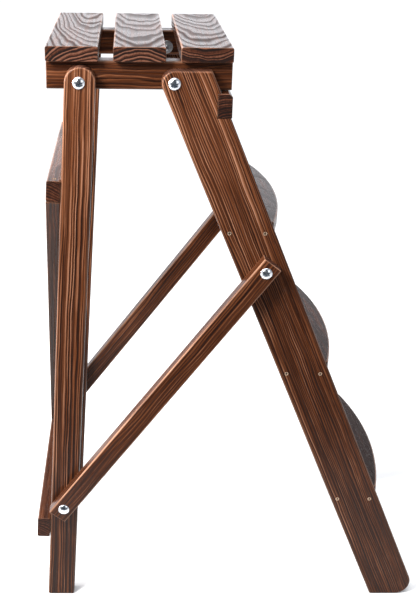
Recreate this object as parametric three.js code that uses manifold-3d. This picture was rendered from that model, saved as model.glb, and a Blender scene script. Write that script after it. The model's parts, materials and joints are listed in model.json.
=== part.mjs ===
// Folding wooden step ladder: a slatted platform, a rear frame on two legs, a front frame with
// treads between two stiles, and a brace outside each side. Millimetres, +Z up, front at -Y,
// width along X, floor at z = 0, every joint in the open position.
//
// Side-view points are [u, z]: u is the distance forward of the platform's rear edge.
import * as THREE from "three";
import { mergeVertices } from "three/addons/utils/BufferGeometryUtils.js";
import Module from "manifold-3d";

const wasm = await Module();
wasm.setup();

// ---- platform ----
const HEIGHT = 876;
const PLATFORM_REAR_Y = 272.6;
const SLAT_LENGTH = 340;
const SLAT_WIDTH = 70;
const SLAT_GAP = 20;
const SLAT_THICK = 20;
const PLATFORM_DEPTH = 3 * SLAT_WIDTH + 2 * SLAT_GAP;
const RAIL_HEIGHT = 38;
const RAIL_THICK = 30;

// ---- side frames ----
const FRAME_WIDTH = 360;
const SIDE_THICK = 22;
const LEG_WIDTH = 42;
const LEG_LEAN = THREE.MathUtils.degToRad(2.8);
const LEG_PIVOT_OFFSET = 1.5;
const STILE_WIDTH = 70;
const STILE_LEAN = THREE.MathUtils.degToRad(23.35);
const STILE_PIVOT_BACKSET = 17;
const STILE_TOE_RADIUS = 23;
const STILE_SHOULDER = 4;

// ---- pivots, as [u, z] ----
const LEG_TOP = [44.5, 830];
const STILE_TOP = [171.5, 830];
const BRACE_UPPER = [306, 570];
const BRACE_LOWER = [14, 177];

// ---- rear cross members ----
const BAR_THICK = 20;
const UPPER_BAR_HEIGHT = 30;
const UPPER_BAR_DROP = 150.5;
const LOWER_BAR_HEIGHT = 34;
const LOWER_BAR_DROP = 703;
const DIAGONAL_SPREAD = 40;
const DIAGONAL_SCREW_TOP_X = -168;
const DIAGONAL_SCREW_FOOT_X = 165;

// ---- front cross members ----
const STOP_BAR_DEPTH = 20;
const STOP_BAR_HEIGHT = 33;
const STOP_BAR_CHAMFER = 4.5;
const TREAD_THICK = 20;
const TREAD_FIRST_TOP = 193;
const TREAD_RISE = 219.5;
const TREAD_BULGE = 25;
const TREAD_FRONT_RADIUS = 590;
const TREAD_SCREW_OFFSETS = { rear: 10.5, front: 61 };

// ---- braces ----
const BRACE_WIDTH = 30;
const BRACE_THICK = 20;
const BRACE_OVER_UPPER = 15.5;
const BRACE_OVER_LOWER = 18;

// ---- bolts, washers, nuts and screws ----
const BOLT_RADIUS = 3;
const BOLT_HEAD_RADIUS = 8.5;
const BOLT_HEAD_HEIGHT = 4.6;
const BOLT_HEAD_RIM = 0.9;
const BOLT_TAIL = 2;
const HOLE_RADIUS = 3.35;
const WASHER_RADIUS = 10;
const WASHER_THICK = 1.6;
const NUT_FLATS = 10;
const NUT_THICK = 5;
const SCREW_RADIUS = 1.5;
const SCREW_HEAD_RADIUS = 2.7;
const SCREW_HEAD_RIM = 0.9;
const SCREW_NECK = 2.7;
const SCREW_POINT = 3;
const SCREW_LENGTH = 40;
const SCREW_RECESS = 0.3;
const SCREW_CLEARANCE = 0.25;

// ---- fits ----
const FIT = 0.3;
const SLIDE_GAP = 0.4;
const SEAT_GAP = 0.1;
const OVERSHOOT = 5;
const EASE = 1.6;
const END_EASE = 0.8;
const BOLT_SEGMENTS = 20;
const SCREW_SEGMENTS = 12;
const DOME_STEPS = 4;
const CROWN_STEPS = 12;
const STILE_ARC_STEPS = 8;
const TREAD_ARC_STEPS = 16;

const sideOuter = FRAME_WIDTH / 2;
const sideInner = sideOuter - SIDE_THICK;
const sideCentre = (sideOuter + sideInner) / 2;
const railOuter = sideInner - SLIDE_GAP;
const railInner = railOuter - RAIL_THICK;
const braceInner = sideOuter + SLIDE_GAP;
const braceOuter = braceInner + BRACE_THICK;
const railTop = HEIGHT - SLAT_THICK - FIT;
const railBottom = railTop - RAIL_HEIGHT;

const WOOD = { color: 0x6a3d26, roughness: 0.55, metalness: 0 };
const DARK_WOOD = { color: 0x4b2c1d, roughness: 0.55, metalness: 0 };
const ZINC = { color: 0xc9ccd0, roughness: 0.25, metalness: 1 };
const SCREW_STEEL = { color: 0xb09a74, roughness: 0.4, metalness: 1 };

const SIDES = [["left", -1], ["right", 1]];

// ---------------------------------------------------------------- placing

function addGroup(name, parent, [u, z], lean = 0) {
  const made = new THREE.Group();
  made.name = name;
  made.position.set(0, PLATFORM_REAR_Y - u, z);
  made.rotation.x = lean;
  parent.add(made);
  return made;
}

// A mesh at x across the width, u ahead and z up from its group's origin.
function addMesh(parent, name, geometry, look, x = 0, [u, z] = [0, 0]) {
  const mesh = new THREE.Mesh(geometry, new THREE.MeshStandardMaterial(look));
  mesh.name = name;
  mesh.position.set(x, -u, z);
  parent.add(mesh);
  return mesh;
}

const minus = ([u, z], [u0, z0]) => [u - u0, z - z0];

// Turns a side-view vector so that a group leaning back by `lean` sees it in its own axes.
function inLean([u, z], lean) {
  return [
    u * Math.cos(lean) - z * Math.sin(lean),
    u * Math.sin(lean) + z * Math.cos(lean),
  ];
}

// ---------------------------------------------------------------- solids

function toManifold(geometry) {
  const bare = geometry.clone();
  bare.deleteAttribute("normal");
  bare.deleteAttribute("uv");
  const merged = mergeVertices(bare);
  const vertProperties = new Float32Array(merged.attributes.position.array);
  const triVerts = new Uint32Array(merged.index.array);
  return new wasm.Manifold(new wasm.Mesh({ numProp: 3, vertProperties, triVerts }));
}

function toGeometry(solid) {
  const mesh = solid.getMesh();
  const geometry = new THREE.BufferGeometry();
  const positions = new Float32Array(mesh.vertProperties);
  geometry.setAttribute("position", new THREE.BufferAttribute(positions, 3));
  geometry.setIndex(new THREE.BufferAttribute(new Uint32Array(mesh.triVerts), 1));
  geometry.computeVertexNormals();
  return geometry;
}

function cut(geometry, tools) {
  return toGeometry(tools.reduce(
    (solid, tool) => solid.subtract(toManifold(tool)), toManifold(geometry)));
}

// Rectangle with chamfered corners, counter-clockwise from its lower left.
function easedRectangle(a0, a1, b0, b1) {
  return [
    [a0 + EASE, b0], [a1 - EASE, b0], [a1, b0 + EASE], [a1, b1 - EASE],
    [a1 - EASE, b1], [a0 + EASE, b1], [a0, b1 - EASE], [a0, b0 + EASE],
  ];
}

function arcPoints([a, b], radius, from, to, steps) {
  const points = [];
  for (let i = 0; i <= steps; i += 1) {
    const angle = from + ((to - from) * i) / steps;
    points.push([a + radius * Math.cos(angle), b + radius * Math.sin(angle)]);
  }
  return points;
}

// Outline drawn in local x and y, with its thickness centred on local z.
function easedSlab(points, thickness, ease) {
  const shape = new THREE.Shape(points.map(([a, b]) => new THREE.Vector2(a, b)));
  const geometry = new THREE.ExtrudeGeometry(shape, {
    depth: thickness - 2 * ease,
    bevelThickness: ease,
    bevelSize: ease,
    bevelOffset: -ease,
    bevelSegments: 1,
  });
  return geometry.translate(0, 0, ease - thickness / 2);
}

// Side-view outline of [u, z] points, centred on x = 0 with its thickness across the width.
function sideSlab(points, thickness, ease = EASE) {
  const slab = easedSlab(points.map(([u, z]) => [-u, z]), thickness, ease);
  const axes = [[0, 1, 0], [0, 0, 1], [1, 0, 0]].map((axis) => new THREE.Vector3(...axis));
  return slab.applyMatrix4(new THREE.Matrix4().makeBasis(...axes));
}

// Profile of [radius, height] pairs turned about local y, or about x when `way` is given.
function turned(profile, segments, way = 0) {
  const points = profile.map(([radius, height]) => new THREE.Vector2(radius, height));
  return new THREE.LatheGeometry(points, segments).rotateZ((-way * Math.PI) / 2);
}

// Hole for a pivot bolt, through a board centred on x = 0.
function boltHole([u, z], thickness) {
  const hole = new THREE.CylinderGeometry(
    HOLE_RADIUS, HOLE_RADIUS, thickness + 2 * OVERSHOOT, BOLT_SEGMENTS);
  return hole.rotateZ(Math.PI / 2).translate(0, -u, z);
}

// Flat-headed screw with its head at height 0 and its point up the local y axis.
const SCREW_PROFILE = [
  [0, SCREW_RECESS], [SCREW_HEAD_RADIUS, SCREW_RECESS], [SCREW_HEAD_RADIUS, SCREW_HEAD_RIM],
  [SCREW_RADIUS, SCREW_NECK], [SCREW_RADIUS, SCREW_LENGTH - SCREW_POINT], [0, SCREW_LENGTH],
];

// Countersunk hole for that screw, a little wider and deeper all round.
const countersink = SCREW_HEAD_RADIUS + SCREW_CLEARANCE;
const shankHole = SCREW_RADIUS + SCREW_CLEARANCE;
const SCREW_HOLE_PROFILE = [
  [0, -OVERSHOOT], [countersink, -OVERSHOOT], [countersink, SCREW_HEAD_RIM + FIT],
  [shankHole, SCREW_NECK + FIT], [shankHole, SCREW_LENGTH + FIT], [0, SCREW_LENGTH + FIT],
];

// ---------------------------------------------------------------- platform

function addPlatform(ladder) {
  const platform = addGroup("platform", ladder, [0, HEIGHT]);
  ["slat_rear", "slat_middle", "slat_front"].forEach((name, i) => {
    const section = easedRectangle(0, SLAT_WIDTH, -SLAT_THICK, 0);
    const slat = sideSlab(section, SLAT_LENGTH, END_EASE);
    addMesh(platform, name, slat, WOOD, 0, [i * (SLAT_WIDTH + SLAT_GAP), 0]);
  });
  for (const [sideName, side] of SIDES) {
    const section = easedRectangle(0, PLATFORM_DEPTH, 0, RAIL_HEIGHT);
    const holes = [LEG_TOP, STILE_TOP].map((pivot) =>
      boltHole(minus(pivot, [0, railBottom]), RAIL_THICK));
    const rail = cut(sideSlab(section, RAIL_THICK), holes);
    const x = (side * (railOuter + railInner)) / 2;
    addMesh(platform, `rail_${sideName}`, rail, DARK_WOOD, x, [0, railBottom - HEIGHT]);
  }
}

// ---------------------------------------------------------------- rear frame

// The rear frame's group leans with the legs: u is ahead of the pivot, z is up the leg.
const legRear = LEG_PIVOT_OFFSET - LEG_WIDTH / 2;
const legFront = LEG_PIVOT_OFFSET + LEG_WIDTH / 2;
const barMiddle = legRear - FIT - BAR_THICK / 2;

function legSlab() {
  const floorUnder = (ahead) => [
    ahead, (ahead * Math.sin(LEG_LEAN) - LEG_TOP[1]) / Math.cos(LEG_LEAN)];
  const crown = arcPoints([LEG_PIVOT_OFFSET, 0], LEG_WIDTH / 2, 0, Math.PI, CROWN_STEPS);
  const leg = sideSlab([floorUnder(legRear), floorUnder(legFront), ...crown], SIDE_THICK);
  const lowerPivot = inLean(minus(BRACE_LOWER, LEG_TOP), LEG_LEAN);
  return cut(leg, [[0, 0], lowerPivot].map((pivot) => boltHole(pivot, SIDE_THICK)));
}

// Screws along the legs' direction that hold the diagonal's ends to the cross bars.
const DIAGONAL_SCREWS = [
  {
    name: "screw_diagonal_top", x: DIAGONAL_SCREW_TOP_X, turn: -Math.PI / 2,
    z: UPPER_BAR_HEIGHT / 2 - UPPER_BAR_DROP,
  },
  {
    name: "screw_diagonal_bottom", x: DIAGONAL_SCREW_FOOT_X, turn: Math.PI / 2,
    z: -LOWER_BAR_HEIGHT / 2 - LOWER_BAR_DROP,
  },
];

function diagonalScrewHole({ x, z, turn }, zOfPiece) {
  const hole = turned(SCREW_HOLE_PROFILE, SCREW_SEGMENTS);
  return hole.rotateX(turn).translate(x, 0, z - zOfPiece);
}

function crossbar(height, drop, screw) {
  const section = easedRectangle(-BAR_THICK / 2, BAR_THICK / 2, -height / 2, height / 2);
  return cut(sideSlab(section, FRAME_WIDTH, END_EASE), [diagonalScrewHole(screw, -drop)]);
}

// From the left end of the upper bar's underside to the right end of the lower bar's top.
function diagonalSlab() {
  const top = -UPPER_BAR_DROP - UPPER_BAR_HEIGHT / 2 - FIT;
  const foot = -LOWER_BAR_DROP + LOWER_BAR_HEIGHT / 2 + FIT;
  const corners = [
    [-sideOuter, top], [sideOuter - DIAGONAL_SPREAD, foot],
    [sideOuter, foot], [-sideOuter + DIAGONAL_SPREAD, top],
  ];
  const slab = easedSlab(corners, BAR_THICK, EASE).rotateX(Math.PI / 2);
  return cut(slab, DIAGONAL_SCREWS.map((screw) => diagonalScrewHole(screw, 0)));
}

function addRearFrame(ladder) {
  const frame = addGroup("rear_frame", ladder, LEG_TOP, LEG_LEAN);
  for (const [sideName, side] of SIDES) {
    addMesh(frame, `leg_${sideName}`, legSlab(), WOOD, side * sideCentre);
    addPivotBolt(frame, `leg_${sideName}`, side, [0, 0], sideOuter, railInner);
  }
  const [topScrew, footScrew] = DIAGONAL_SCREWS;
  const upper = crossbar(UPPER_BAR_HEIGHT, UPPER_BAR_DROP, topScrew);
  const lower = crossbar(LOWER_BAR_HEIGHT, LOWER_BAR_DROP, footScrew);
  addMesh(frame, "crossbar_upper", upper, WOOD, 0, [barMiddle, -UPPER_BAR_DROP]);
  addMesh(frame, "crossbar_lower", lower, WOOD, 0, [barMiddle, -LOWER_BAR_DROP]);
  addMesh(frame, "diagonal", diagonalSlab(), WOOD, 0, [barMiddle, 0]);
  for (const { name, x, z, turn } of DIAGONAL_SCREWS) {
    const screw = turned(SCREW_PROFILE, SCREW_SEGMENTS);
    addMesh(frame, name, screw, SCREW_STEEL, x, [barMiddle, z]).rotation.x = turn;
  }
}

// ---------------------------------------------------------------- front frame

// u of a line `ahead` of the stile's pivot line, at height z.
function stileU(ahead, z) {
  return STILE_TOP[0] + ahead / Math.cos(STILE_LEAN) + (STILE_TOP[1] - z) * Math.tan(STILE_LEAN);
}

const stileRear = -STILE_PIVOT_BACKSET;
const stileFront = STILE_WIDTH - STILE_PIVOT_BACKSET;
const stileTop = STILE_TOP[1] + STILE_PIVOT_BACKSET;
const stopTop = railBottom - FIT;
const stopBottom = stopTop - STOP_BAR_HEIGHT;

const TREADS = ["lower", "middle", "upper"].map((place, i) => {
  const top = TREAD_FIRST_TOP + i * TREAD_RISE;
  const middle = top - TREAD_THICK / 2;
  const screws = Object.entries(TREAD_SCREW_OFFSETS).map(([end, offset]) => (
    { name: `screw_tread_${place}_${end}`, at: [stileU(stileRear, middle) + offset, middle] }));
  return { name: `tread_${place}`, top, screws };
});

// Flat foot with a rounded toe, a notch for the stop bar, and a crown round the pivot.
function stileOutline() {
  const onFront = (z) => [stileU(stileFront, z), z];
  const toeCentre = [stileU(stileFront - STILE_TOE_RADIUS, STILE_TOE_RADIUS), STILE_TOE_RADIUS];
  const notchBack = PLATFORM_DEPTH - STOP_BAR_DEPTH - FIT;
  const [shoulderU] = onFront(stileTop);
  return [
    [stileU(stileRear, 0), 0],
    ...arcPoints(toeCentre, STILE_TOE_RADIUS, -Math.PI / 2, STILE_LEAN, STILE_ARC_STEPS),
    onFront(stopBottom - FIT), [notchBack, stopBottom - FIT],
    [notchBack, stopTop + FIT], onFront(stopTop + FIT),
    onFront(stileTop - STILE_SHOULDER), [shoulderU - STILE_SHOULDER, stileTop],
    ...arcPoints(
      STILE_TOP, STILE_PIVOT_BACKSET, Math.PI / 2, Math.PI + STILE_LEAN, STILE_ARC_STEPS),
  ];
}

// Screw holes that start at the stile's outer face, for a piece centred at x.
function treadScrewHoles(side, screws, x, origin) {
  return screws.map(({ at }) => {
    const [u, z] = minus(at, origin);
    const hole = turned(SCREW_HOLE_PROFILE, SCREW_SEGMENTS, -side);
    return hole.translate(side * sideOuter - x, -u, z);
  });
}

function stileSlab(side) {
  const outline = stileOutline().map((point) => minus(point, STILE_TOP));
  const pivots = [[0, 0], minus(BRACE_UPPER, STILE_TOP)];
  const screws = TREADS.flatMap((tread) => tread.screws);
  return cut(sideSlab(outline, SIDE_THICK), [
    ...pivots.map((pivot) => boltHole(pivot, SIDE_THICK)),
    ...treadScrewHoles(side, screws, side * sideCentre, STILE_TOP),
  ]);
}

// Straight rear edge at the stiles' rear line, front edge bowed ahead of them.
function treadSlab({ top, screws }) {
  const half = sideInner - FIT;
  const crest = stileU(stileFront, top) + TREAD_BULGE;
  const spread = Math.asin(half / TREAD_FRONT_RADIUS);
  const front = arcPoints(
    [0, crest - TREAD_FRONT_RADIUS], TREAD_FRONT_RADIUS,
    Math.PI / 2 - spread, Math.PI / 2 + spread, TREAD_ARC_STEPS);
  const rear = stileU(stileRear, top - TREAD_THICK);
  const plan = [[-half, rear], [half, rear], ...front].map(([x, u]) => [x, u - STILE_TOP[0]]);
  const slab = easedSlab(plan, TREAD_THICK, EASE).rotateX(Math.PI);
  const origin = [STILE_TOP[0], top - TREAD_THICK / 2];
  return cut(slab, SIDES.flatMap(([, side]) => treadScrewHoles(side, screws, 0, origin)));
}

function stopBarSlab() {
  const section = easedRectangle(-STOP_BAR_DEPTH, 0, -STOP_BAR_HEIGHT, 0);
  section[3] = [0, -STOP_BAR_CHAMFER];
  section[4] = [-STOP_BAR_CHAMFER, 0];
  return sideSlab(section, FRAME_WIDTH, END_EASE);
}

function addFrontFrame(ladder) {
  const frame = addGroup("front_frame", ladder, STILE_TOP);
  for (const tread of TREADS) {
    const drop = tread.top - TREAD_THICK / 2 - STILE_TOP[1];
    addMesh(frame, tread.name, treadSlab(tread), WOOD, 0, [0, drop]);
  }
  addMesh(frame, "stop_bar", stopBarSlab(), DARK_WOOD, 0, minus([PLATFORM_DEPTH, stopTop], STILE_TOP));
  for (const [sideName, side] of SIDES) {
    addMesh(frame, `stile_${sideName}`, stileSlab(side), DARK_WOOD, side * sideCentre);
    addPivotBolt(frame, `stile_${sideName}`, side, [0, 0], sideOuter, railInner);
    addStud(frame, `brace_upper_${sideName}`, side, minus(BRACE_UPPER, STILE_TOP));
    for (const { name, at } of TREADS.flatMap((tread) => tread.screws)) {
      const screw = turned(SCREW_PROFILE, SCREW_SEGMENTS, -side);
      addMesh(frame, `${name}_${sideName}`, screw, SCREW_STEEL, side * sideOuter, minus(at, STILE_TOP));
    }
  }
}

// ---------------------------------------------------------------- braces

// Each brace's group leans so that z runs up the brace from its lower pivot.
function addBrace(ladder, sideName, side) {
  const [run, rise] = minus(BRACE_UPPER, BRACE_LOWER);
  const span = Math.hypot(run, rise);
  const frame = addGroup(`brace_${sideName}_side`, ladder, BRACE_LOWER, Math.atan2(run, rise));
  const section = easedRectangle(
    -BRACE_WIDTH / 2, BRACE_WIDTH / 2, -BRACE_OVER_LOWER, span + BRACE_OVER_UPPER);
  const holes = [[0, 0], [0, span]].map((pivot) => boltHole(pivot, BRACE_THICK));
  const board = cut(sideSlab(section, BRACE_THICK), holes);
  addMesh(frame, `brace_${sideName}`, board, DARK_WOOD, (side * (braceInner + braceOuter)) / 2);
  addPivotBolt(frame, `brace_lower_${sideName}`, side, [0, 0], braceOuter, sideInner);
  // The upper pivot's bolt is parted here: its head half turns with the brace.
  addBolt(frame, `brace_upper_${sideName}`, side, [0, span], braceOuter, braceInner + FIT);
}

// ---------------------------------------------------------------- bolts, washers and nuts

// Dome over the head's rim, part of a sphere, closing on the bolt's axis.
function boltDome() {
  const rise = BOLT_HEAD_HEIGHT - BOLT_HEAD_RIM;
  const radius = (BOLT_HEAD_RADIUS ** 2 + rise ** 2) / (2 * rise);
  const edge = Math.asin(BOLT_HEAD_RADIUS / radius);
  const points = arcPoints(
    [0, BOLT_HEAD_HEIGHT - radius], radius, Math.PI / 2 - edge, Math.PI / 2, DOME_STEPS);
  return [...points.slice(0, -1), [0, BOLT_HEAD_HEIGHT]];
}

// Domed bolt from its outer face in to `end`, both measured from the centre plane.
function addBolt(parent, label, side, at, outer, end) {
  const profile = [
    [0, end - outer], [BOLT_RADIUS, end - outer], [BOLT_RADIUS, SEAT_GAP],
    [BOLT_HEAD_RADIUS, SEAT_GAP], ...boltDome(),
  ];
  const bolt = turned(profile, BOLT_SEGMENTS, side);
  addMesh(parent, `bolt_${label}`, bolt, ZINC, side * outer, at);
}

// Washer and nut against an inner face; returns where the bolt's tail ends.
function addClamp(parent, label, side, at, face) {
  const ring = [
    [HOLE_RADIUS, 0], [WASHER_RADIUS, 0], [WASHER_RADIUS, WASHER_THICK],
    [HOLE_RADIUS, WASHER_THICK], [HOLE_RADIUS, 0],
  ];
  const washerFace = face - SEAT_GAP;
  const nutFace = washerFace - WASHER_THICK - SEAT_GAP;
  const washer = turned(ring, BOLT_SEGMENTS, -side);
  addMesh(parent, `washer_${label}`, washer, ZINC, side * washerFace, at);
  const corner = NUT_FLATS / 2 / Math.cos(Math.PI / 6);
  const body = new THREE.CylinderGeometry(corner, corner, NUT_THICK, 6).rotateZ(Math.PI / 2);
  const nut = cut(body, [boltHole([0, 0], NUT_THICK)]);
  addMesh(parent, `nut_${label}`, nut, ZINC, side * (nutFace - NUT_THICK / 2), at);
  return nutFace - NUT_THICK - BOLT_TAIL;
}

function addPivotBolt(parent, label, side, at, outer, inner) {
  const end = addClamp(parent, label, side, at, inner);
  addBolt(parent, label, side, at, outer, end);
}

// The parted bolt's other half, which stays in the stile.
function addStud(parent, label, side, at) {
  const end = addClamp(parent, label, side, at, sideInner);
  const length = sideOuter - FIT - end;
  const profile = [[0, 0], [BOLT_RADIUS, 0], [BOLT_RADIUS, length], [0, length]];
  addMesh(parent, `stud_${label}`, turned(profile, BOLT_SEGMENTS, side), ZINC, side * end, at);
}

// ---------------------------------------------------------------- the whole ladder

const group = new THREE.Group();
group.name = "step_ladder";
addPlatform(group);
addRearFrame(group);
addFrontFrame(group);
for (const [sideName, side] of SIDES) {
  addBrace(group, sideName, side);
}

export default group;
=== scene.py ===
"""Folding wooden step ladder: fine meshes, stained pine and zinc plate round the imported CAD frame.

Metres, +Z up, front at -Y, floor at z = 0. Each board is made in a frame of its own with the grain
along local x, so growth rings, long grain and end grain all come from one round log.
"""
import json
import math

import bmesh
import bpy
from mathutils import Matrix, Vector

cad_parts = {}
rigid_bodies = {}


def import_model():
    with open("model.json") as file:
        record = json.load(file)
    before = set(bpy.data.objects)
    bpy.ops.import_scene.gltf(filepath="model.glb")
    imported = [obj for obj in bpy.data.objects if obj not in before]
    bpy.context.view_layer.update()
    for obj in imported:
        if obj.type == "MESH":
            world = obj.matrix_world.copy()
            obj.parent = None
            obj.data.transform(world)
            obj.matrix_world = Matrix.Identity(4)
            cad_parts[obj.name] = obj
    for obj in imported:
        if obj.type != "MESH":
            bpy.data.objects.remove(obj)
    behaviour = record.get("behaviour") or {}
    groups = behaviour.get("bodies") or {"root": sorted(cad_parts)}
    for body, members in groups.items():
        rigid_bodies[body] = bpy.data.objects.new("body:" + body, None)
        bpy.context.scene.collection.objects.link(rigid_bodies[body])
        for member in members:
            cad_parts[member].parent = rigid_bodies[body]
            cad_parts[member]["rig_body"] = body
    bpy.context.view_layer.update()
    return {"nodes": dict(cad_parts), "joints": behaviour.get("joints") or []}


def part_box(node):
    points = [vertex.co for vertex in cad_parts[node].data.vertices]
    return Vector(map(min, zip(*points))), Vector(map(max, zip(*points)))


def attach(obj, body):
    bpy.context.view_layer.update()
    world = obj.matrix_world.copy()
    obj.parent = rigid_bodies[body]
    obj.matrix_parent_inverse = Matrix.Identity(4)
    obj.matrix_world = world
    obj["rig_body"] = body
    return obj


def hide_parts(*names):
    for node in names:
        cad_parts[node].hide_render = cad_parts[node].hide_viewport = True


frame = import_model()
nodes = frame["nodes"]
pivot_of = {joint["name"]: Vector(joint["pos_m"]) for joint in frame["joints"]}

LEFT, RIGHT = -1, 1
MM = 0.001

# ---- boards ----
LEG_LEAN = math.radians(2.8)
LEG_WIDTH = 0.042
LEG_PIVOT_OFFSET = 0.0015
STILE_LEAN = math.radians(23.35)
STILE_WIDTH = 0.070
STILE_PIVOT_BACKSET = 0.017
STILE_TOE_RADIUS = 0.023
STILE_SHOULDER = 0.005
BRACE_WIDTH = 0.030
BRACE_OVER_UPPER = 0.0155
BRACE_OVER_LOWER = 0.018
BRACE_ROUND = 0.0023
BAR_THICK = 0.020
UPPER_BAR_HEIGHT = 0.030
LOWER_BAR_HEIGHT = 0.034
DIAGONAL_SPREAD = 0.040
STOP_BAR_CHAMFER = 0.0045
TREAD_FRONT_RADIUS = 0.590
TREAD_FRONT_STEPS = 28
NOTCH_BESIDE = 0.010
NOTCH_AHEAD = 0.020

# How far the rims of planed and sawn boards are rounded, and their outlines' corners: a little
# more than the rims, so that a rim's inset never folds over itself.
PLANED = 0.0028
SAWN = 0.0011
PLANED_CORNER = PLANED + MM / 5
SAWN_CORNER = SAWN + MM / 5

# ---- bolts, nuts, washers and screws ----
HOLE_RADIUS = 0.00335
HOLE_OVERRUN = 0.020
BOLT_RADIUS = 0.003
BOLT_POINT = 0.0006
HEAD_RADIUS = 0.0085
HEAD_HEIGHT = 0.0046
HEAD_RIM = 0.0009
BOLT_THREAD = 0.018
THREADED_SHARE = 0.6
THREAD_PITCH = 0.001
THREAD_DEPTH = 0.00055
BORE_RADIUS = 0.00305
NUT_FACE_SHARE = 0.95
NUT_CONE_SLOPE = math.tan(math.radians(30))
WASHER_ROUND = 0.0006
SCREW_LENGTH = 0.0397
SCREW_RADIUS = 0.0015
SCREW_HEAD_RADIUS = 0.0027
SCREW_HEAD_RIM = 0.0006
SCREW_NECK = 0.0024
SCREW_POINT = 0.003
SCREW_PITCH = 0.0018
SCREW_HOLE_RADIUS = 0.0019
SCREW_SINK_RADIUS = 0.0031
SCREW_SINK_ABOVE = 0.004
SCREW_SINK_DEPTH = 0.0009
SCREW_SINK_END = 0.0029

# Clearance between pieces that fit into or against each other.
FIT = 0.0003

# Facets round each turned shape.
BOLT_FACETS = 48
WASHER_FACETS = 60
NUT_FACETS = 6 * 10
SCREW_FACETS = 24
HOLE_FACETS = 40
SINK_FACETS = 28


def centre_of(node):
    low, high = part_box(node)
    return (low + high) / 2


def size_of(node):
    low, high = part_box(node)
    return high - low


def link(name, data, matrix=None):
    """New object in the scene, with that mesh, light or camera."""
    made = bpy.data.objects.new(name, data)
    if matrix is not None:
        made.matrix_world = matrix
    bpy.context.scene.collection.objects.link(made)
    return made


# ---------------------------------------------------------------- camera

CAMERA_PLACE = Vector((-1.5656, 0.1647, 1.0954))
CAMERA_YAW = math.radians(-91.37)
CAMERA_PITCH = math.radians(23.23)
CAMERA_ROLL = math.radians(0.82)


def make_camera():
    data = bpy.data.cameras.new("camera")
    data.sensor_width = 36
    data.lens = 62.53
    data.shift_x = 0.1028
    data.shift_y = 0.0213
    data.clip_end = 60
    turn = (
        Matrix.Rotation(CAMERA_YAW, 4, "Z")
        @ Matrix.Rotation(math.pi / 2 - CAMERA_PITCH, 4, "X")
        @ Matrix.Rotation(CAMERA_ROLL, 4, "Z")
    )
    camera = link("camera", data, Matrix.Translation(CAMERA_PLACE) @ turn)
    bpy.context.scene.camera = camera


# ---------------------------------------------------------------- shader nodes


class Graph:
    """Adds shader nodes to a tree; an input is another node's socket or a plain value."""

    def __init__(self, tree):
        self.tree = tree

    def feed(self, socket, value):
        if isinstance(value, bpy.types.NodeSocket):
            self.tree.links.new(value, socket)
        else:
            socket.default_value = value

    def node(self, kind, inputs=None, **settings):
        made = self.tree.nodes.new("ShaderNode" + kind)
        for key, value in settings.items():
            setattr(made, key, value)
        for key, value in (inputs or {}).items():
            self.feed(made.inputs[key], value)
        return made

    def math(self, operation, *values):
        made = self.node("Math", dict(enumerate(values)), operation=operation)
        return made.outputs[0]

    def vector(self, operation, *values):
        made = self.node("VectorMath", dict(enumerate(values)), operation=operation)
        return made.outputs["Value" if operation in ("LENGTH", "DOT_PRODUCT") else "Vector"]

    def axes(self, vector):
        return self.node("SeparateXYZ", {0: vector}).outputs

    def ramp(self, value, low, high, to_low=0.0, to_high=1.0):
        """Smooth step of value from low to high."""
        places = {"Value": value, "From Min": low, "From Max": high}
        ends = {"To Min": to_low, "To Max": to_high}
        made = self.node("MapRange", {**places, **ends}, interpolation_type="SMOOTHSTEP")
        return made.outputs[0]

    def noise(self, place, stretch, detail=2.0, roughness=0.5, whole=False):
        """Noise of a point in mm, with one cycle every 1/stretch mm on each axis."""
        spread = self.vector("MULTIPLY", place, stretch)
        inputs = {"Vector": spread, "Scale": 1.0, "Detail": detail, "Roughness": roughness}
        made = self.node("TexNoise", inputs)
        return made.outputs["Color" if whole else 0]

    def mix(self, factor, low, high, blend="MIX"):
        made = self.node("Mix", {0: factor, 6: low, 7: high}, data_type="RGBA", blend_type=blend)
        return made.outputs[2]

    def colours(self, value, *stops):
        """Colour ramp through (place, colour) stops."""
        made = self.node("ValToRGB", {0: value})
        elements = made.color_ramp.elements
        while len(elements) < len(stops):
            elements.new(0.5)
        for element, (place, colour) in zip(elements, stops):
            element.position = place
            element.color = (*colour, 1)
        return made.outputs[0]


def new_group(name, inputs, outputs):
    tree = bpy.data.node_groups.new(name, "ShaderNodeTree")
    for way, sockets in (("INPUT", inputs), ("OUTPUT", outputs)):
        for label, kind in sockets.items():
            tree.interface.new_socket(name=label, in_out=way, socket_type="NodeSocket" + kind)
    graph = Graph(tree)
    given = tree.nodes.new("NodeGroupInput").outputs
    wanted = tree.nodes.new("NodeGroupOutput").inputs
    return tree, graph, given, wanted


# ---------------------------------------------------------------- light and floor

FLOOR_REACH = 30
FLOOR_WHITE = (0.92, 0.92, 0.92)
SLATE = (0.020, 0.032, 0.045)
SKY = (0.93, 0.95, 1.0, 1)
SUN_WAY = Vector((-0.22, 0.20, 0.95))
# The unlit side of the studio behind the camera: it darkens what the bolt heads reflect.
DARK_CARDS = {
    "dark_wall": [
        (-2.6, -3.4, 0.02), (-2.6, 3.4, 0.02), (-2.6, 3.4, 1.3), (-2.6, 1.6, 1.7),
        (-2.6, 1.3, 4.8), (-2.6, -1.1, 4.8), (-2.6, -1.4, 1.7), (-2.6, -3.4, 1.3),
    ],
    "dark_mat": [(-0.60, -0.8, 0.01), (-0.60, 1.0, 0.01), (-2.6, 2.2, 0.01), (-2.6, -2.0, 0.01)],
}


def plain_material(name, colour, roughness):
    material = bpy.data.materials.new(name)
    material.use_nodes = True
    shader = material.node_tree.nodes["Principled BSDF"]
    shader.inputs["Base Color"].default_value = (*colour, 1)
    shader.inputs["Roughness"].default_value = roughness
    return material


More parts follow.
